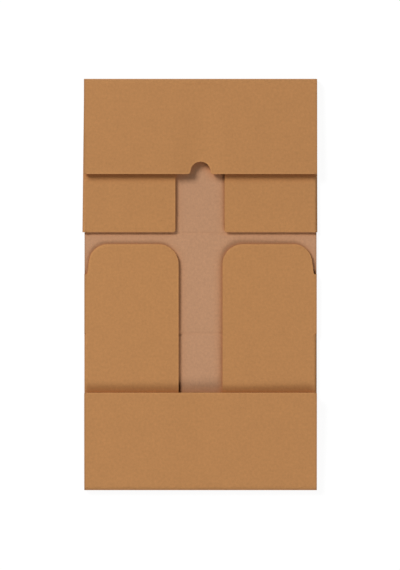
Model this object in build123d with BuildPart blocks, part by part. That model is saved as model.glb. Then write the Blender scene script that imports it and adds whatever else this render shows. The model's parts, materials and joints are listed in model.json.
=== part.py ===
from build123d import *
import os

# A one-piece corrugated mailing box with a hinged lid, folded flat with its inner face up.
# Lengths are in millimetres. The box lies with its underside on z = 0, its front fold towards -Y
# and its lid towards +Y. x = 0 is its centre line, and y = 0 is half way along it.

# Board
board = 2.8               # thickness of the board
layer_gap = 0.3           # air between two layers that lie on each other

# Panels
width = 240.0             # across the base, over both side folds
base_depth = 161.6        # front fold to base crease
back_height = 103.6       # base crease to lid crease
lid_depth = 159.6         # lid crease to the lid's front fold
back_relief = 0.15        # each cut edge of the back wall lies this far inside the side folds
lid_width = 240.7         # across the lid, over both side folds at its front end
lid_flare_left = 1.7      # the lid's side folds run outwards by this much at the lid crease
lid_flare_right = 0.35

# Flaps, each from its fold to its free edge
front_height = 101.0
side_height = 97.3
lid_front_depth = 98.6
lid_side_depth = 95.5
end_clearance = 1.0       # end of a folded-in flap to the bend of the flap that covers it
lid_side_setback = 1.2    # lid crease to the near end of the lid's side flaps
free_corner = 1.0         # rounding of the free corners of the two outer flaps
lid_side_corner = 2.5     # rounding of the lid's side flaps next to the lid crease

# Ears on the rear ends of the side walls
ear_length = 92.4         # past the base crease
ear_inner_radius = 20.5
ear_outer_radius = 16.0
ear_shoulder = 61.6       # base crease to the step in the outer edge
ear_step = 3.0            # depth of that step
ear_taper = 4.4           # further run inwards from the step to the tip
shoulder_radius = 0.8

# Thumb notch in the free edge of the lid's front flap
notch_width = 20.8
notch_depth = 12.8
notch_lip = 3.0           # rounding where the notch runs out into the free edge

# Creases pressed into the inner face
score_width = 5.0
score_depth = 0.4

# Degrees by which the two outer flaps spring up from the layers below
front_spring = 2.1
lid_front_spring = 1.7

# Worked out from the values above
layer = board + layer_gap                 # height of one layer over the next
fold_r = board + layer_gap / 2            # outer radius of a fold with nothing inside it
stack_r = 1.5 * board + layer_gap         # outer radius of a fold round one more layer
half = width / 2
lid_half = lid_width / 2
back_half = half - back_relief
side_free_x = half - side_height          # free edges of the side walls
lid_free_x = lid_half - lid_side_depth        # free edges of the lid's side flaps
length = base_depth + back_height + lid_depth
front_fold_y = -length / 2
base_crease_y = front_fold_y + base_depth
lid_crease_y = base_crease_y + back_height
lid_fold_y = lid_crease_y + lid_depth
bend_run = stack_r + end_clearance        # fold line to the ends of the flaps tucked under it

# Hinge lines of the two outer flaps: x runs from the fold over the panel, y upwards
front_hinge = Plane(origin=(0, front_fold_y, stack_r), x_dir=(0, 1, 0), z_dir=(1, 0, 0))
lid_front_hinge = Plane(origin=(0, lid_fold_y, stack_r), x_dir=(0, -1, 0), z_dir=(-1, 0, 0))


def board_tube(span, radius):
    """Section of board bent round at both ends: a flat tube."""
    SlotOverall(span, 2 * radius)
    SlotOverall(span - 2 * board, 2 * (radius - board), mode=Mode.SUBTRACT)


def fold_in_sides(start_y, end_y, fold_x, free_x, flare_left=0, flare_right=0):
    """Panel with both side flaps folded in over it, from fold_x to free_x off the centre line.
    Each side fold is fold_x out at end_y, and its flare further out at start_y."""
    run = end_y - start_y
    for side, flare in ((-1, flare_left), (1, flare_right)):
        reach = fold_x + free_x / 2
        across = Plane(origin=(side * fold_x, end_y, 0), x_dir=(-side * run, -flare, 0),
                       z_dir=(-flare, side * run, 0))
        with BuildSketch(across) as section:
            with Locations((reach, fold_r)):
                board_tube(2 * reach, fold_r)
            Rectangle(reach, 2 * fold_r, align=Align.MIN, mode=Mode.INTERSECT)
        extrude(section.sketch, amount=length, both=True)
    with BuildSketch() as panel:
        with Locations((0, start_y)):
            Rectangle(2 * width, run, align=(Align.CENTER, Align.MIN))
    extrude(panel.sketch, amount=2 * fold_r, mode=Mode.INTERSECT)
    with BuildSketch(Plane.XY.offset(board)) as strip:
        with Locations((0, start_y)):
            Rectangle(2 * free_x, run, align=(Align.CENTER, Align.MIN))
    extrude(strip.sketch, amount=2 * fold_r, mode=Mode.SUBTRACT)


def half_fold(reach, flat_side):
    """Half of an outer fold, cut at the height of its hinge line, with its flat run.
    flat_side is Align.MAX for the lower half and Align.MIN for the upper one."""
    with Locations((reach, 0)):
        board_tube(2 * reach, stack_r)
    Rectangle(reach, 2 * stack_r, align=(Align.MIN, flat_side), mode=Mode.INTERSECT)


def face_plane(hinge):
    """Plane through the hinge line and along the flap's face, x from the fold to the free edge."""
    return Plane(origin=hinge.origin, x_dir=hinge.x_dir, z_dir=hinge.y_dir)


def flap_outline(reach, across):
    """Outline of an outer flap, from its fold to its rounded free corners."""
    Rectangle(reach, across, align=(Align.MIN, Align.CENTER))
    fillet(vertices().group_by(Axis.X)[-1], free_corner)


def press_score(crease_y, face_z, depth):
    """Presses a crease between the side folds. A negative depth presses upwards."""
    with BuildSketch(Plane.YZ) as section:
        with BuildLine():
            ThreePointArc((crease_y - score_width / 2, face_z), (crease_y, face_z - depth),
                          (crease_y + score_width / 2, face_z))
            Line((crease_y + score_width / 2, face_z), (crease_y - score_width / 2, face_z))
        make_face()
    extrude(section.sketch, amount=back_half - fold_r, both=True, mode=Mode.SUBTRACT)


os.makedirs("parts", exist_ok=True)

# Base, back wall and the two side walls with their ears: one sheet, folded in at both sides
with BuildPart() as tray:
    fold_in_sides(front_fold_y + bend_run, base_crease_y, half, side_free_x)
    with BuildSketch(front_hinge):
        half_fold(bend_run, Align.MAX)
    extrude(amount=half, both=True)
    with BuildSketch():
        with Locations((0, base_crease_y)):
            Rectangle(2 * back_half, back_height, align=(Align.CENTER, Align.MIN))
    extrude(amount=board)
    with BuildSketch(Plane.XY.offset(layer)):
        shoulder_y = base_crease_y + ear_shoulder
        tip_y = base_crease_y + ear_length
        shoulder_x = half - ear_step
        tip_x = shoulder_x - ear_taper
        with BuildLine():
            Polyline((side_free_x, base_crease_y), (half, base_crease_y), (half, shoulder_y),
                     (shoulder_x, shoulder_y), (tip_x, tip_y), (side_free_x, tip_y), close=True)
        make_face()
        fillet(vertices().sort_by_distance((side_free_x, tip_y))[0], ear_inner_radius)
        fillet(vertices().sort_by_distance((tip_x, tip_y))[0], ear_outer_radius)
        fillet(vertices().sort_by_distance((shoulder_x, shoulder_y))[0], shoulder_radius)
        mirror(about=Plane.YZ)
    extrude(amount=board)
    press_score(base_crease_y, board, score_depth)
    press_score(base_crease_y, layer, -score_depth)
    press_score(lid_crease_y, board, score_depth)
tray.part.label = "tray"
export_step(tray.part, "parts/tray.step")

# Front wall, doubled back over the front ends of the side walls
with BuildPart() as front_wall:
    raised = front_hinge.rotated((front_spring, 0, 0))
    with BuildSketch(raised):
        half_fold(front_height, Align.MIN)
    extrude(amount=half, both=True)
    with BuildSketch(face_plane(raised)):
        flap_outline(front_height, width)
    extrude(amount=2 * stack_r, mode=Mode.INTERSECT)
front_wall.part.label = "front_wall"
export_step(front_wall.part, "parts/front_wall.step")

# Lid panel with its two side flaps folded in, its side folds running outwards to the crease
with BuildPart() as lid:
    near_y = lid_crease_y + lid_side_setback
    fold_in_sides(near_y, lid_fold_y - bend_run, lid_half, lid_free_x, lid_flare_left, lid_flare_right)
    fillet(lid.edges().filter_by(Axis.Z).group_by(Axis.Y)[0], lid_side_corner)
    with BuildSketch(lid_front_hinge):
        half_fold(bend_run, Align.MAX)
    extrude(amount=lid_half, both=True)
    with BuildSketch():
        with Locations((0, lid_crease_y)):
            Rectangle(2 * back_half, lid_side_setback, align=(Align.CENTER, Align.MIN))
    extrude(amount=board)
    press_score(lid_crease_y, board, score_depth)
lid.part.label = "lid"
export_step(lid.part, "parts/lid.step")

# Front flap of the lid, with its thumb notch, doubled back over the lid's side flaps
with BuildPart() as lid_front_flap:
    raised = lid_front_hinge.rotated((-lid_front_spring, 0, 0))
    with BuildSketch(raised):
        half_fold(lid_front_depth, Align.MIN)
    extrude(amount=lid_half, both=True)
    with BuildSketch(face_plane(raised)):
        flap_outline(lid_front_depth, lid_width)
        with Locations((lid_front_depth - notch_depth + notch_width / 2, 0)):
            Circle(notch_width / 2, mode=Mode.SUBTRACT)
        fillet(vertices().sort_by_distance((lid_front_depth, 0))[:2], notch_lip)
    extrude(amount=2 * stack_r, mode=Mode.INTERSECT)
lid_front_flap.part.label = "lid_front_flap"
export_step(lid_front_flap.part, "parts/lid_front_flap.step")
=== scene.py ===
import json
import math

import bmesh
import bpy
from mathutils import Matrix, Vector
from mathutils.kdtree import KDTree
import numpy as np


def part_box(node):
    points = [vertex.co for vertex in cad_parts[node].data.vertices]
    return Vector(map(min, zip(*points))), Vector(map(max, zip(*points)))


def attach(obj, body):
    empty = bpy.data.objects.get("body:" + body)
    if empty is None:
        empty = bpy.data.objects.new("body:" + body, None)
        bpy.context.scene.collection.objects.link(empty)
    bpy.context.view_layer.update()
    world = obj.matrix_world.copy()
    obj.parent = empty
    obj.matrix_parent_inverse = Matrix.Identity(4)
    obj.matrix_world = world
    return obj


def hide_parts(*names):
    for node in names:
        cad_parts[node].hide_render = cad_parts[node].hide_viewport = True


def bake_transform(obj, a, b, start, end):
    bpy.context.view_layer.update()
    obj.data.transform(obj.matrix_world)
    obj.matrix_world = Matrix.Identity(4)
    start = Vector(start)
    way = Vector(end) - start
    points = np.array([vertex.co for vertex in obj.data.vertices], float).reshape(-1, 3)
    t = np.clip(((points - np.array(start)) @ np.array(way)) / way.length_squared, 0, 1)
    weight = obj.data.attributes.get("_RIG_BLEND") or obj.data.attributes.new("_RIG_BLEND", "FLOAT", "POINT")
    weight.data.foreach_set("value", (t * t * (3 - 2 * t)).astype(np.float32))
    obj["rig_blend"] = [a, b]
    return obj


# A corrugated mailing box, folded flat with its inner face up. Each part of it is cut from the flat
# blank, given the board's thickness and its open flutes, and then folded as the real sheet is.
# Lengths are in metres. The outer face of the blank lies down, at z = 0, and its flutes run along Y.
# The front fold is towards -Y and the lid towards +Y. All pieces share the frame of the CAD solids.

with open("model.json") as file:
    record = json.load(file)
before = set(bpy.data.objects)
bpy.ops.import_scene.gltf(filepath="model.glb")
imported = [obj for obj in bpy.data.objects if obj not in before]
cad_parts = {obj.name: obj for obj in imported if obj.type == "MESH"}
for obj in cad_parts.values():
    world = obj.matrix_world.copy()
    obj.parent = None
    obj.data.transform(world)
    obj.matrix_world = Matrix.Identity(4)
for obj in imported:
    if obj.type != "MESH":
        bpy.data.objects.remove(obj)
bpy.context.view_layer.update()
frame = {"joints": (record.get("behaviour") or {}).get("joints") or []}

UP = Vector((0, 0, 1))
LEFT, RIGHT = Vector((-1, 0, 0)), Vector((1, 0, 0))
FRONT, REAR = Vector((0, -1, 0)), Vector((0, 1, 0))

# Board
BOARD = 0.0028
LINER = 0.00026           # each of the two flat papers
MEDIUM = 0.00024          # the wavy paper between them
FLUTE = 0.0065            # from one wave to the next
FLUTE_STEPS = 8           # columns in one wave
TOUCH = 0.00003           # the least gap between the wave and a flat paper
HOLLOW = 0.0022           # depth to which the flutes are left open at a cut edge
CRUSH = 0.0006            # how much the die squeezes the board at cut ends that cross its flutes
CRUSH_FADE = 0.005        # length over which the squeeze starts beside a fold
BEND_STEPS = 14           # columns round a fold
CORNER_STEPS = 7
SMOOTH_UP_TO = math.radians(40)     # faces that meet at less than this angle are shaded as one

# Look of the papers: sizes of their patterns, painted highlight and shade along edges, painted shade beside
# a step
PULP_CLOUD = 0.018
PULP_MOTTLE = 0.0028
FIBRE = 0.0009            # width of a fibre, drawn as coarse as it needs to show
FELT = 0.0006             # grain of the paper's relief
BARK_SPECK = 0.0008
TORN_FIBRE = 0.0007       # on the cut edges
BURR = 0.0004             # roughness of the cut edges
RECYCLED_MOTTLE = 0.0012  # on the fluting paper
RELIEF = 0.00006          # height of the paper's relief
DRIFT_PLACES = (0.02, 0.09)         # between these places up the blank the paper gets darker
DRIFT_LEVELS = (1.022, 0.984)
WASHBOARD = 0.4           # how strongly the flutes show through the flat papers, against their grain
EDGE_RIM = 0.0022        # width of the painted rim of highlight or shade along a cut edge
PAINTED_RIM_HIGHLIGHT = 1.10          # painted highlight: brightness of a cut edge that lies over another layer, beside its shadow
PAINTED_RIM_SHADE = 0.80         # painted shade: brightness of the outline's cut edges and of the side folds as they turn over
PAINTED_SHADE_REACH = 0.012     # how far from a step the painted shade reaches

# Panels and flaps, as they are cut in the construction
LAYER_GAP = 0.0003
BASE_DEPTH = 0.1616
BACK_RELIEF = 0.00015
LID_WIDTH = 0.2407
FRONT_HEIGHT = 0.101
SIDE_HEIGHT = 0.0973
LID_FRONT_DEPTH = 0.0986
LID_SIDE_DEPTH = 0.0955
LEFT_SHORT = 0.0012        # the lid's left side flap is shorter than the right one by this
END_CLEARANCE = 0.001
LID_SIDE_SETBACK = 0.0012
FREE_CORNER = 0.001
LID_SIDE_CORNER = 0.0025
FRONT_SPRING = math.radians(2.1)
LID_FRONT_SPRING = math.radians(1.7)
FRONT_SAG = 0.001         # how far the outer flaps dip in their middle, over the bare strip
LID_FRONT_SAG = 0.0019
SAG_REACH = 0.032         # from their middle to where they are level again
WALL_LIFT = 0.0013        # how far the right side wall's free edge stands off the base

# Ears on the rear ends of the side walls
EAR_LENGTH = 0.0924
EAR_INNER_RADIUS = 0.0205
EAR_OUTER_RADIUS = 0.016
EAR_SHOULDER = 0.0616
EAR_STEP = 0.003
EAR_TAPER = 0.0044
SHOULDER_RADIUS = 0.0008

# Thumb notch
NOTCH_RADIUS = 0.0104
NOTCH_DEPTH = 0.0128
NOTCH_LIP = 0.003         # rounding where the notch runs out into the free edge
NOTCH_STEPS = 24
LIP_STEPS = 6

# Creases pressed into the inner face
SCORE_WIDTH = 0.005
SCORE_DEPTH = 0.0004
SCORE_ROWS = 8
LID_CREASE_REACH = 0.002  # how far the lid's crease reaches into the back wall

# Places, worked out from the frame
tray_low, tray_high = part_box("tray")
lid_low, lid_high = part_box("lid")
hinges = {joint["name"]: joint for joint in frame["joints"]}
half = tray_high.x
front_fold_y = tray_low.y
lid_crease_y = tray_high.y
lid_fold_y = lid_high.y
base_crease_y = front_fold_y + BASE_DEPTH
side_radius = BOARD + LAYER_GAP / 2                   # outer radius of a side fold
stack_radius = hinges["front_fold"]["pos_m"][2]       # outer radius of a fold round one more layer
side_tangent = half - side_radius                     # where a side fold starts to bend
lid_half = LID_WIDTH / 2
lid_tangent = lid_half - side_radius
flare_left = -lid_low.x - lid_half
flare_right = lid_high.x - lid_half
flare_from = half / 3                                 # the lid's middle, up to here, stays straight


def bend_length(radius):
    """Length of flat board that goes into a fold of this outer radius, on the board's middle line."""
    return math.pi * (radius - BOARD / 2)


side_bend = bend_length(side_radius)
stack_bend = bend_length(stack_radius)
tuck = stack_radius + END_CLEARANCE                   # fold line to the flaps tucked under it


def smooth(share):
    """Eases a share from 0 to 1 in and out."""
    return share * share * (3 - 2 * share)


def several(low, high, count):
    """Evenly spaced places from low to high, without the two ends."""
    return [low + (high - low) * i / count for i in range(1, count)]


def linear(code, alpha=1.0):
    """An sRGB hex colour as linear RGBA."""
    parts = [int(code[i:i + 2], 16) / 255 for i in (1, 3, 5)]
    return [p / 12.92 if p <= 0.04045 else ((p + 0.055) / 1.055) ** 2.4 for p in parts] + [alpha]


def cut_across(bm, along, places):
    """Cuts the faces by planes that stand at these places along a direction."""
    for place in places:
        geometry = bm.verts[:] + bm.edges[:] + bm.faces[:]
        bmesh.ops.bisect_plane(bm, geom=geometry, dist=1e-7, plane_co=along * place, plane_no=along)


def plan(points, rounded=()):
    """A flat face with this outline. rounded gives (index of the point, radius) for its round corners."""
    bm = bmesh.new()
    corners = [bm.verts.new((x, y, 0)) for x, y in points]
    bm.faces.new(corners)
    for index, radius in rounded:
        bmesh.ops.bevel(bm, geom=[corners[index]], offset=radius, offset_type="OFFSET",
                        segments=CORNER_STEPS, profile=0.5, affect="VERTICES", material=-1)
    return bm


def rectangle(x0, x1, y0, y1):
    return [(x0, y0), (x1, y0), (x1, y1), (x0, y1)]


def arc(x, y, radius, start, end, steps):
    """Points along an arc, from the angle start to the angle end."""
    turns = [start + (end - start) * i / steps for i in range(steps + 1)]
    return [(x + radius * math.cos(turn), y + radius * math.sin(turn)) for turn in turns]


def notch_outline(free_edge):
    """Outline of the thumb notch with its two rounded lips, from the right lip to the left one."""
    middle = free_edge - NOTCH_DEPTH + NOTCH_RADIUS
    lip_y = free_edge - NOTCH_LIP
    apart = NOTCH_RADIUS + NOTCH_LIP
    lean = math.asin((middle - lip_y) / apart)
    right_lip = arc(apart * math.cos(lean), lip_y, NOTCH_LIP, math.pi / 2, math.pi - lean, LIP_STEPS)
    hollow = arc(0, middle, NOTCH_RADIUS, -lean, lean - math.pi, NOTCH_STEPS)
    return right_lip + hollow[1:-1] + [(-x, y) for x, y in reversed(right_lip)]


def lay_columns(bm, bends=()):
    """Cuts a plan into columns along the flutes, and finer ones in each bend, given as (start, end)."""
    reach = max(abs(v.co.x) for v in bm.verts)
    step = FLUTE / FLUTE_STEPS
    columns = [i * step for i in range(-int(reach / step), int(reach / step) + 1)]
    for start, end in bends:
        columns = [x for x in columns if not start - step / 4 < abs(x) < end + step / 4]
        columns += [side * x for side in (-1, 1) for x in several(start, end, BEND_STEPS) + [start, end]]
    cut_across(bm, RIGHT, sorted(columns))


def is_face(element):
    return isinstance(element, bmesh.types.BMFace)


def is_vert(element):
    return isinstance(element, bmesh.types.BMVert)


def mark_edge_rim(bm, joined):
    """Marks how near each point of a plan lies to its cut edges: 1 at them, down to 0 at the rim's width
    from them. The mark places the painted highlight and shade along the edges, and the die's squeeze.
    """
    wear = bm.verts.layers.float.new("wear")
    rim = [vert.co.copy() for edge in bm.edges if edge.is_boundary
           and not is_joined((edge.verts[0].co + edge.verts[1].co) / 2, joined) for vert in edge.verts]
    nearest = KDTree(len(rim))
    for index, place in enumerate(rim):
        nearest.insert(place, index)
    nearest.balance()
    for vert in bm.verts:
        vert[wear] = max(0, 1 - nearest.find(vert.co)[2] / EDGE_RIM)


def thicken(bm, joined):
    """Raises a plan to the board's thickness and opens the flutes along its cut edges.
    joined gives (y, from x, to x) for the stretches of its outline that go on in another part."""
    core = (BOARD - 2 * LINER - MEDIUM) / 2
    mark_edge_rim(bm, joined)
    top = bm.faces[:]
    for level, rise in enumerate((LINER, core, MEDIUM, core, LINER)):
        below = top
        grown = bmesh.ops.extrude_face_region(bm, geom=below)["geom"]
        top = [g for g in grown if is_face(g)]
        bmesh.ops.translate(bm, vec=UP * rise, verts=[g for g in grown if is_vert(g)])
        if level > 0:
            bmesh.ops.delete(bm, geom=below, context="FACES")
    bmesh.ops.recalc_face_normals(bm, faces=bm.faces[:])
    hollows = ([], [])
    for face in bm.faces:
        centre = face.calc_center_median()
        if abs(face.normal.z) > 0.5:
            face.material_index = OUTER if centre.z < BOARD / 2 else INNER
            continue
        face.material_index = EDGE
        if is_joined(centre, joined):
            continue
        if LINER < centre.z < LINER + core:
            hollows[0].append(face)
        elif LINER + core + MEDIUM < centre.z < BOARD - LINER:
            hollows[1].append(face)
    swing = core - TOUCH
    for vert in bm.verts:
        if 2 * LINER < vert.co.z < BOARD - 2 * LINER:
            vert.co.z += swing * math.sin(math.tau * vert.co.x / FLUTE)
    for faces in hollows:
        if faces:
            hollow_out(bm, faces)


def is_joined(place, joined):
    return any(abs(place.y - y) < 1e-5 and x0 <= abs(place.x) <= x1 for y, x0, x1 in joined)


def hollow_out(bm, faces):
    """Pushes a row of side faces into the board, so that the flutes are open there, and gives them the
    fluting paper painted dark as the shade in there.
    """
    grown = bmesh.ops.extrude_face_region(bm, geom=faces)["geom"]
    bmesh.ops.delete(bm, geom=faces, context="FACES")
    pushed = set(g for g in grown if is_face(g))
    for vert in [g for g in grown if is_vert(g)]:
        outward = sum((f.normal for f in vert.link_faces if f in pushed), Vector())
        outward.z = 0
        vert.co -= outward.normalized() * HOLLOW
        for face in vert.link_faces:
            face.material_index = FLUTING_IN_SHADE


def press(bm, crease_y):
    """Presses a crease right across, which squeezes the whole board there."""
    for vert in bm.verts:
        off = abs(vert.co.y - crease_y) / (SCORE_WIDTH / 2)
        if off < 1:
            vert.co.z *= 1 - SCORE_DEPTH / BOARD * (0.5 + 0.5 * math.cos(math.pi * off))


def crush(bm, end_y, fade_y, from_x=0):
    """Squeezes the board from its outer face at a cut end that crosses the flutes, as the die leaves it.
    The squeeze is nothing at fade_y and full at end_y, and it lies further out than from_x."""
    wear = bm.verts.layers.float["wear"]
    for vert in bm.verts:
        along = min(max((vert.co.y - fade_y) / (end_y - fade_y), 0), 1)
        across = min(max((abs(vert.co.x) - from_x) / CRUSH_FADE, 0), 1)
        squeeze = CRUSH * vert[wear] * smooth(along) * smooth(across)
        vert.co.z += squeeze * (1 - vert.co.z / BOARD)


def keep_sheet_places(bm):
    """Keeps where each point lies in the flat blank, so that the paper's grain follows the folds."""
    sheet = bm.verts.layers.float_vector.new("sheet")
    for vert in bm.verts:
        vert[sheet] = vert.co


def roll_over(bm, outward, start, radius):
    """Rolls the board that lies past start, in the direction outward, up and over a fold."""
    centre = outward * start + UP * radius
    wear = bm.verts.layers.float["wear"]
    for vert in bm.verts:
        past = vert.co.dot(outward) - start
        if past > 0:
            used = min(past, bend_length(radius))
            angle = math.pi * used / bend_length(radius)
            turn = Matrix.Rotation(angle, 3, outward.cross(UP))
            vert.co = centre + turn @ (vert.co - outward * used - centre)
            # Painted shade on a side fold, deepest at its outer side.
            vert[wear] -= abs(outward.x) * math.sin(angle)


def spring_up(bm, hinge, angle, low, high):
    """Turns the flap about its hinge line, by nothing below the height low and fully above high."""
    line = Vector(hinge["pos_m"])
    for vert in bm.verts:
        share = min(max((vert.co.z - low) / (high - low), 0), 1)
        turn = Matrix.Rotation(angle * smooth(share), 3, Vector(hinge["axis"]))
        vert.co = line + turn @ (vert.co - line)


def lift(bm):
    """Lets the right side wall rise towards its free edge, from its fold and from under the front wall."""
    for vert in bm.verts:
        if vert.co.x > 0 and vert.co.z > BOARD + LAYER_GAP / 2:
            across = min((side_tangent - vert.co.x) / (SIDE_HEIGHT - side_radius), 1)
            along = min((vert.co.y - front_fold_y - tuck) / FRONT_HEIGHT, 1)
            vert.co.z += WALL_LIFT * smooth(max(across, 0)) * smooth(along)


def flare(bm, near_y, far_y):
    """Leans the lid's two side folds outwards, more and more towards the lid's crease."""
    for vert in bm.verts:
        if abs(vert.co.x) > flare_from:
            out = flare_right if vert.co.x > 0 else -flare_left
            vert.co.x += out * (far_y - vert.co.y) / (far_y - near_y)


def join(parts):
    """Puts several meshes into one."""
    whole = bmesh.new()
    for part in parts:
        mesh = bpy.data.meshes.new("part")
        part.to_mesh(mesh)
        part.free()
        whole.from_mesh(mesh)
        bpy.data.meshes.remove(mesh)
    return whole


def make_piece(name, bm, rimless=(0, 0)):
    """Turns a finished mesh into a piece with the board's materials, smooth except at sharp edges.
    Its cut edges get painted shade on the outline, a painted highlight inside it, and no painted rim
    between the two places given last."""
    bmesh.ops.recalc_face_normals(bm, faces=bm.faces[:])
    wear = bm.verts.layers.float["wear"]
    for vert in bm.verts:
        if abs(vert.co.x) > half - EDGE_RIM:
            vert[wear] = -abs(vert[wear])
        elif rimless[0] < vert.co.x < rimless[1]:
            vert[wear] = 0
    for face in bm.faces:
        face.smooth = True
    for edge in bm.edges:
        edge.smooth = edge.calc_face_angle(math.pi) < SMOOTH_UP_TO
    mesh = bpy.data.meshes.new(name)
    bm.to_mesh(mesh)
    bm.free()
    for material in board_materials:
        mesh.materials.append(material)
    made = bpy.data.objects.new(name, mesh)
    bpy.context.collection.objects.link(made)
    return made


def add_node(material, kind, inputs=None, **settings):
    """Adds a node with its settings. inputs gives a value or another node's output for each socket."""
    made = material.node_tree.nodes.new(kind)
    for name, value in settings.items():
        setattr(made, name, value)
    for name, value in (inputs or {}).items():
        if isinstance(value, bpy.types.NodeSocket):
            material.node_tree.links.new(value, made.inputs[name])
        else:
            made.inputs[name].default_value = value
    return made


def new_material(name):
    """A material with an empty node tree and its output."""
    made = bpy.data.materials.new(name)
    made.use_nodes = True
    made.node_tree.nodes.clear()
    return made, add_node(made, "ShaderNodeOutputMaterial")


def grained(material, place, size, low, high, detail=2.0, stretch=(1, 1, 1), start=0.25, end=0.75):
    """A value that wanders from low to high over grains of this size in metres, longer along an axis
    with a stretch. start and end are the levels of the noise that give low and high."""
    scale = [1 / (size * s) for s in stretch]
    mapped = add_node(material, "ShaderNodeMapping", {"Vector": place, "Scale": scale})
    noise = add_node(material, "ShaderNodeTexNoise", {"Vector": mapped.outputs["Vector"], "Scale": 1.0,
                                                      "Detail": detail, "Roughness": 0.6})
    made = add_node(material, "ShaderNodeMapRange", {"Value": noise.outputs["Fac"], "From Min": start,
                                                     "From Max": end, "To Min": low, "To Max": high})
    return made.outputs["Result"]


def painted_crevice_shade(material, shade_loss):
    """Painted shade beside a step: the paper's colour is darkened and warmed as the surroundings close in,
    standing in for light that has passed from paper to paper. The last argument is what the red, green
    and blue lose where everything around is closed."""
    open_sky = add_node(material, "ShaderNodeAmbientOcclusion", {"Distance": PAINTED_SHADE_REACH}, samples=8)
    closed = add_node(material, "ShaderNodeMath", {0: 1.0, 1: open_sky.outputs["AO"]}, operation="SUBTRACT")
    shade_tint = add_node(material, "ShaderNodeVectorMath", {0: shade_loss, "Scale": closed.outputs[0]},
                    operation="SCALE")
    left = add_node(material, "ShaderNodeVectorMath", {0: (1, 1, 1), 1: shade_tint.outputs["Vector"]},
                    operation="SUBTRACT")
    return left.outputs["Vector"]


def kraft(name, colour, streaks, tooth, shade_loss):
    """Kraft paper: matt, with soft mottling from the pulp, fine fibres that give it a felted look, a few
    darker specks of bark, and the faint ribs of the flutes below it. It gets a little darker up the
    blank. It has a painted highlight along cut edges that lie over another layer, painted shade along
    the outline's cut edges and side folds, and painted shade beside a step. streaks is the contrast of
    its fibres, tooth the strength of its relief, and the last argument what the painted shade beside a
    step takes from the red, green and blue."""
    material, output = new_material(name)
    place = add_node(material, "ShaderNodeAttribute", attribute_name="sheet").outputs["Vector"]
    wear = add_node(material, "ShaderNodeAttribute", attribute_name="wear").outputs["Fac"]
    sheet = add_node(material, "ShaderNodeSeparateXYZ", {"Vector": place})
    shares = [grained(material, place, PULP_CLOUD, 0.978, 1.022),
              grained(material, place, PULP_MOTTLE, 0.92, 1.08, 3.0),
              grained(material, place, FIBRE, 1 - streaks, 1 + streaks, 2.0, (1, 4, 1)),
              grained(material, place, BARK_SPECK, 1.0, 0.9, 1.0, (1, 3, 1), 0.67, 0.74)]
    # Painted highlight along cut edges that lie over another layer, and painted shade along the outline's
    # cut edges and side folds.
    for value, start, end, low, high in ((sheet.outputs["Y"], *DRIFT_PLACES, *DRIFT_LEVELS),
                                         (wear, 0.0, 1.0, 1.0, PAINTED_RIM_HIGHLIGHT),
                                         (wear, 0.0, -1.0, 1.0, PAINTED_RIM_SHADE)):
        share = add_node(material, "ShaderNodeMapRange", {"Value": value, "From Min": start,
                                                          "From Max": end, "To Min": low, "To Max": high})
        shares.append(share.outputs["Result"])
    level = 1.0
    for share in shares:
        level = add_node(material, "ShaderNodeMath", {0: level, 1: share}, operation="MULTIPLY").outputs[0]
    even = add_node(material, "ShaderNodeVectorMath", {0: linear(colour)[:3], "Scale": level},
                    operation="SCALE").outputs["Vector"]
    # Painted shade beside a step darkens and warms the colour.
    tone = add_node(material, "ShaderNodeVectorMath", {0: even, 1: painted_crevice_shade(material, shade_loss)},
                    operation="MULTIPLY")
    turns = add_node(material, "ShaderNodeMath", {0: sheet.outputs["X"], 1: math.tau / FLUTE},
                     operation="MULTIPLY").outputs[0]
    ribs = add_node(material, "ShaderNodeMath", {0: turns}, operation="SINE").outputs[0]
    felt = grained(material, place, FELT, 0.0, 1.0, 3.0, start=0.0, end=1.0)
    relief = add_node(material, "ShaderNodeMath", {0: ribs, 1: WASHBOARD, 2: felt},
                      operation="MULTIPLY_ADD").outputs[0]
    bump = add_node(material, "ShaderNodeBump", {"Strength": tooth, "Distance": RELIEF, "Height": relief})
    paper = add_node(material, "ShaderNodeBsdfPrincipled",
                     {"Base Color": tone.outputs["Vector"], "Normal": bump.outputs["Normal"],
                      "Roughness": 0.86, "IOR": 1.45})
    material.node_tree.links.new(paper.outputs["BSDF"], output.inputs["Surface"])
    return material


def cut_board():
    """The die-cut edge of the papers: a little paler and rougher than their faces, with torn fibres."""
    material, output = new_material("kraft_board_die_cut_edge")
    place = add_node(material, "ShaderNodeAttribute", attribute_name="sheet").outputs["Vector"]
    level = grained(material, place, TORN_FIBRE, 0.90, 1.08, 3.0)
    burr = grained(material, place, BURR, 0.0, 1.0, start=0.0, end=1.0)
    tone = add_node(material, "ShaderNodeVectorMath", {0: linear("#BC8B5C")[:3], "Scale": level},
                    operation="SCALE")
    bump = add_node(material, "ShaderNodeBump", {"Strength": 0.5, "Distance": 0.0001, "Height": burr})
    paper = add_node(material, "ShaderNodeBsdfPrincipled",
                     {"Base Color": tone.outputs["Vector"], "Normal": bump.outputs["Normal"],
                      "Roughness": 0.95, "IOR": 1.45})
    material.node_tree.links.new(paper.outputs["BSDF"], output.inputs["Surface"])
    return material


def painted_dark_flute_hollow():
    """The inside of an open flute: recycled fluting paper, its colour painted dark as the shade in there,
    since little light gets in.
    """
    material, output = new_material("fluting_paper_in_shadow")
    place = add_node(material, "ShaderNodeAttribute", attribute_name="sheet").outputs["Vector"]
    level = grained(material, place, RECYCLED_MOTTLE, 0.8, 1.15)
    tone = add_node(material, "ShaderNodeVectorMath", {0: linear("#5E442D")[:3], "Scale": level},
                    operation="SCALE")
    paper = add_node(material, "ShaderNodeBsdfPrincipled",
                     {"Base Color": tone.outputs["Vector"], "Roughness": 1.0, "IOR": 1.45})
    material.node_tree.links.new(paper.outputs["BSDF"], output.inputs["Surface"])
    return material


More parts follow.
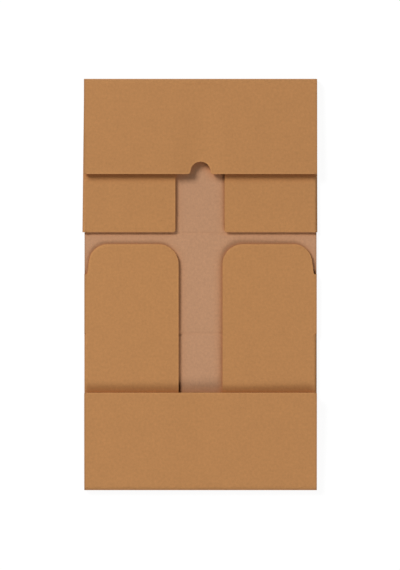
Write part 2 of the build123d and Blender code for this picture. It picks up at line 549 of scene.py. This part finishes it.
# The last material is the fluting paper painted dark as the shade inside an open flute.
OUTER, INNER, EDGE, FLUTING_IN_SHADE = range(4)
# The last values are the red, green and blue that the painted shade beside a step takes away.
board_materials = [kraft("outer_kraft_liner", "#B7814D", 0.03, 0.35, (0.22, 0.75, 1.2)),
                   kraft("inner_kraft_liner", "#BB8C69", 0.04, 0.35, (0.1, 0.57, 1.0)),
                   cut_board(), painted_dark_flute_hollow()]


def folded_base():
    """Base with both side walls, folded in over it."""
    flat_reach = side_tangent + side_bend + side_tangent - (half - SIDE_HEIGHT)
    near_y = front_fold_y + tuck
    bm = plan(rectangle(-flat_reach, flat_reach, near_y, base_crease_y))
    rows = several(near_y, base_crease_y - SCORE_WIDTH / 2, 8)
    rows += [base_crease_y - SCORE_WIDTH / 2 * (1 - i / SCORE_ROWS) for i in range(SCORE_ROWS)]
    cut_across(bm, REAR, rows)
    lay_columns(bm, [(side_tangent, side_tangent + side_bend)])
    thicken(bm, [(near_y, 0, side_tangent), (base_crease_y, 0, side_tangent),
                 (base_crease_y, side_tangent + side_bend, 1)])
    press(bm, base_crease_y)
    keep_sheet_places(bm)
    for side in (LEFT, RIGHT):
        roll_over(bm, side, side_tangent, side_radius)
    lift(bm)
    return bm


def back_wall():
    """Back wall, from the base crease to just short of the lid's crease."""
    edge_x = half - BACK_RELIEF
    far_y = lid_crease_y - LID_CREASE_REACH
    bm = plan(rectangle(-edge_x, edge_x, base_crease_y, far_y))
    rows = [base_crease_y + SCORE_WIDTH / 2 * i / SCORE_ROWS for i in range(1, SCORE_ROWS + 1)]
    rows += several(base_crease_y + SCORE_WIDTH / 2, lid_crease_y - SCORE_WIDTH / 2, 6)
    rows += [lid_crease_y - SCORE_WIDTH / 2]
    cut_across(bm, REAR, rows)
    lay_columns(bm)
    thicken(bm, [(base_crease_y, 0, 1), (far_y, 0, 1)])
    press(bm, base_crease_y)
    press(bm, lid_crease_y)
    keep_sheet_places(bm)
    return bm


def ear(side):
    """Ear on the end of one side wall, turned over so that its outer face is up."""
    free_x = half - SIDE_HEIGHT
    shoulder_y, tip_y = base_crease_y + EAR_SHOULDER, base_crease_y + EAR_LENGTH
    shoulder_x = half - EAR_STEP
    points = [(free_x, base_crease_y), (half, base_crease_y), (half, shoulder_y), (shoulder_x, shoulder_y),
              (shoulder_x - EAR_TAPER, tip_y), (free_x, tip_y)]
    bm = plan([(-side * x, y) for x, y in points],
              [(5, EAR_INNER_RADIUS), (4, EAR_OUTER_RADIUS), (3, SHOULDER_RADIUS)])
    rows = [base_crease_y + SCORE_WIDTH / 2 * i / SCORE_ROWS for i in range(1, SCORE_ROWS + 1)]
    round_y = tip_y - EAR_INNER_RADIUS
    rows += several(base_crease_y + SCORE_WIDTH / 2, round_y, 6) + [round_y] + several(round_y, tip_y, 10)
    cut_across(bm, REAR, rows)
    lay_columns(bm)
    thicken(bm, [(base_crease_y, 0, 1)])
    press(bm, base_crease_y)
    crush(bm, tip_y, round_y)
    keep_sheet_places(bm)
    bmesh.ops.rotate(bm, cent=UP * side_radius, matrix=Matrix.Rotation(math.pi, 3, "Y"), verts=bm.verts)
    lift(bm)
    return bm


def stack_fold(outward, fold_at, side_x):
    """Strip of board rolled over at a front fold, flat for a short run at each end.
    fold_at is the fold line's place along the direction outward, and side_x half its length."""
    start = fold_at - stack_radius
    y0, y1 = sorted(outward.y * u for u in (start - END_CLEARANCE, start + stack_bend + END_CLEARANCE))
    bm = plan(rectangle(-side_x, side_x, y0, y1))
    cut_across(bm, outward, [start, start + stack_bend] + several(start, start + stack_bend, BEND_STEPS))
    lay_columns(bm)
    thicken(bm, [(y0, 0, 1), (y1, 0, 1)])
    keep_sheet_places(bm)
    roll_over(bm, outward, start, stack_radius)
    return bm


def outer_flap(outward, fold_at, side_x, reach, sag, notch):
    """Front wall or front flap of the lid, past its fold, up to its free edge."""
    start = fold_at - stack_radius + stack_bend
    near, far = start + END_CLEARANCE, start + reach - stack_radius
    points = [(-side_x, near), (side_x, near), (side_x, far)]
    if notch:
        points += notch_outline(far)
    points.append((-side_x, far))
    bm = plan([(x, outward.y * u) for x, u in points], [(2, FREE_CORNER), (len(points) - 1, FREE_CORNER)])
    cut_across(bm, outward, several(near, far - EDGE_RIM, 8) + [far - EDGE_RIM])
    lay_columns(bm)
    thicken(bm, [(outward.y * near, 0, 1)])
    keep_sheet_places(bm)
    roll_over(bm, outward, fold_at - stack_radius, stack_radius)
    for vert in bm.verts:
        along = (fold_at - outward.y * vert.co.y) / reach
        vert.co.z -= sag * along * smooth(max(0, 1 - abs(vert.co.x) / SAG_REACH))
    return bm


def lid_crease():
    """Strip of board at the lid's crease, between the back wall and the lid panel."""
    edge_x = half - BACK_RELIEF
    near_y, far_y = lid_crease_y - LID_CREASE_REACH, lid_crease_y + LID_SIDE_SETBACK
    bm = plan(rectangle(-edge_x, edge_x, near_y, far_y))
    cut_across(bm, REAR, several(near_y, far_y, 12))
    lay_columns(bm)
    thicken(bm, [(near_y, 0, 1), (far_y, 0, 1)])
    press(bm, lid_crease_y)
    keep_sheet_places(bm)
    return bm


def folded_lid():
    """Lid panel with both side flaps, folded in over it, and its side folds leaning outwards."""
    flat_reach = lid_tangent + side_bend + lid_tangent - (lid_half - LID_SIDE_DEPTH)
    near_y, far_y = lid_crease_y + LID_SIDE_SETBACK, lid_fold_y - tuck
    bm = plan(rectangle(LEFT_SHORT - flat_reach, flat_reach, near_y, far_y),
              [(0, LID_SIDE_CORNER), (1, LID_SIDE_CORNER)])
    rows = several(near_y, lid_crease_y + SCORE_WIDTH / 2, 4) + [lid_crease_y + SCORE_WIDTH / 2]
    rows += several(lid_crease_y + SCORE_WIDTH / 2, far_y, 9)
    cut_across(bm, REAR, rows)
    lay_columns(bm, [(lid_tangent, lid_tangent + side_bend)])
    thicken(bm, [(near_y, 0, lid_tangent), (far_y, 0, lid_tangent)])
    press(bm, lid_crease_y)
    crush(bm, near_y, near_y + 2 * EDGE_RIM, lid_tangent + side_bend)
    keep_sheet_places(bm)
    for side in (LEFT, RIGHT):
        roll_over(bm, side, lid_tangent, side_radius)
    flare(bm, near_y, far_y)
    return bm


# Board pieces. The free edges of the right-hand flaps have no hard shadow beside them, so they get
# no painted highlight; they lie between these two places
rimless_edges = (half - SIDE_HEIGHT - TOUCH, lid_half - LID_SIDE_DEPTH + EDGE_RIM)
tray = make_piece("base_back_wall_and_side_walls", join([folded_base(), back_wall(), ear(-1), ear(1)]),
                  rimless_edges)
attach(tray, "tray")
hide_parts("tray")

lid = make_piece("lid_and_side_flaps", folded_lid(), rimless_edges)
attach(lid, "lid")
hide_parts("lid")

fold_low, fold_high = BOARD, 2 * stack_radius - BOARD
for body, carrier, joint, outward, side_x, reach, spring, sag, notch in (
        ("front_wall", "tray", "front_fold", FRONT, half, FRONT_HEIGHT, FRONT_SPRING, FRONT_SAG, False),
        ("lid_front_flap", "lid", "lid_front_fold", REAR, lid_half, LID_FRONT_DEPTH, LID_FRONT_SPRING,
         LID_FRONT_SAG, True)):
    fold_at = -front_fold_y if outward is FRONT else lid_fold_y
    flap_mesh = outer_flap(outward, fold_at, side_x, reach, sag, notch)
    spring_up(flap_mesh, hinges[joint], spring, fold_low, fold_high)
    flap = make_piece(body + "_board", flap_mesh)
    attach(flap, body)
    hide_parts(body)
    fold_mesh = stack_fold(outward, fold_at, side_x)
    spring_up(fold_mesh, hinges[joint], spring, fold_low, fold_high)
    fold = make_piece(body + "_fold", fold_mesh)
    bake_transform(fold, carrier, body, start=UP * fold_low, end=UP * fold_high)

crease = make_piece("lid_crease", lid_crease())
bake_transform(crease, "tray", "lid", start=REAR * (lid_crease_y - LID_CREASE_REACH),
         end=REAR * (lid_crease_y + LID_SIDE_SETBACK))

# Camera, straight above with a long lens
FRAME_HEIGHT = 0.58856    # real height that the picture takes in
CAMERA_HEIGHT = 5.0
SENSOR = 36.0
camera_data = bpy.data.cameras.new("camera")
camera_data.sensor_width = SENSOR
camera_data.lens = SENSOR * CAMERA_HEIGHT / FRAME_HEIGHT
camera = bpy.data.objects.new("camera", camera_data)
camera.location = (-0.00056, -0.00052, CAMERA_HEIGHT + 2 * side_radius)
bpy.context.collection.objects.link(camera)
bpy.context.scene.camera = camera


def softbox(name, azimuth, elevation, distance, width, height, share):
    """An oval lamp aimed at the box. share is about the brightness that it alone gives a white sheet."""
    lamp = bpy.data.lights.new(name, "AREA")
    lamp.shape = "ELLIPSE"
    lamp.size = width
    lamp.size_y = height
    lamp.energy = share * math.pi ** 2 * distance ** 2 / math.sin(math.radians(elevation))
    made = bpy.data.objects.new(name, lamp)
    turn = math.radians(azimuth)
    level = distance * math.cos(math.radians(elevation))
    made.location = (level * math.cos(turn), level * math.sin(turn),
                     distance * math.sin(math.radians(elevation)))
    made.rotation_euler = (-made.location).to_track_quat("-Z", "Y").to_euler()
    made.visible_camera = False
    bpy.context.collection.objects.link(made)


softbox("key_softbox", azimuth=136, elevation=38, distance=5.0, width=2.3, height=2.1, share=0.615)
softbox("fill_softbox", azimuth=-66, elevation=35, distance=5.0, width=5.4, height=1.9, share=0.345)

# Pale floor and white surroundings. The camera sees the floor white, with the box's shadow on it
FLOOR_SIZE = 30.0
FLOOR_GLOW = 0.92
FLOOR_SHADE = 0.12        # the part of the floor's brightness that a shadow takes away
AMBIENT = 0.02            # what the surroundings add to the lamps
floor_mesh = bmesh.new()
bmesh.ops.create_grid(floor_mesh, x_segments=1, y_segments=1, size=FLOOR_SIZE / 2)
floor_data = bpy.data.meshes.new("floor")
floor_mesh.to_mesh(floor_data)
floor_mesh.free()
floor = bpy.data.objects.new("floor", floor_data)
bpy.context.collection.objects.link(floor)

floor_material, floor_output = new_material("white_studio_floor")
seen = add_node(floor_material, "ShaderNodeLightPath")
plain = add_node(floor_material, "ShaderNodeBsdfDiffuse", {"Color": linear("#E6E6E6")})
faint = add_node(floor_material, "ShaderNodeBsdfDiffuse", {"Color": (*[FLOOR_SHADE] * 3, 1)})
glow = add_node(floor_material, "ShaderNodeEmission", {"Color": (1, 1, 1, 1), "Strength": FLOOR_GLOW})
shown = add_node(floor_material, "ShaderNodeAddShader", {0: faint.outputs[0], 1: glow.outputs[0]})
mixed = add_node(floor_material, "ShaderNodeMixShader", {0: seen.outputs["Is Camera Ray"],
                                                         1: plain.outputs[0], 2: shown.outputs[0]})
floor_material.node_tree.links.new(mixed.outputs[0], floor_output.inputs["Surface"])
floor_data.materials.append(floor_material)

world = bpy.data.worlds.new("studio")
bpy.context.scene.world = world
world.use_nodes = True
world.node_tree.nodes.clear()
world_output = add_node(world, "ShaderNodeOutputWorld")
path = add_node(world, "ShaderNodeLightPath")
direct = add_node(world, "ShaderNodeMath", {0: path.outputs["Is Camera Ray"],
                                            1: path.outputs["Is Glossy Ray"]}, operation="MAXIMUM")
any_view = add_node(world, "ShaderNodeMath", {0: direct.outputs[0],
                                              1: path.outputs["Is Transmission Ray"]}, operation="MAXIMUM")
strength = add_node(world, "ShaderNodeMapRange", {"Value": any_view.outputs[0], "To Min": AMBIENT,
                                                  "To Max": 1.0})
surroundings = add_node(world, "ShaderNodeBackground", {"Color": (1, 1, 1, 1),
                                                        "Strength": strength.outputs["Result"]})
world.node_tree.links.new(surroundings.outputs[0], world_output.inputs["Surface"])

bpy.context.scene.view_settings.view_transform = "Standard"
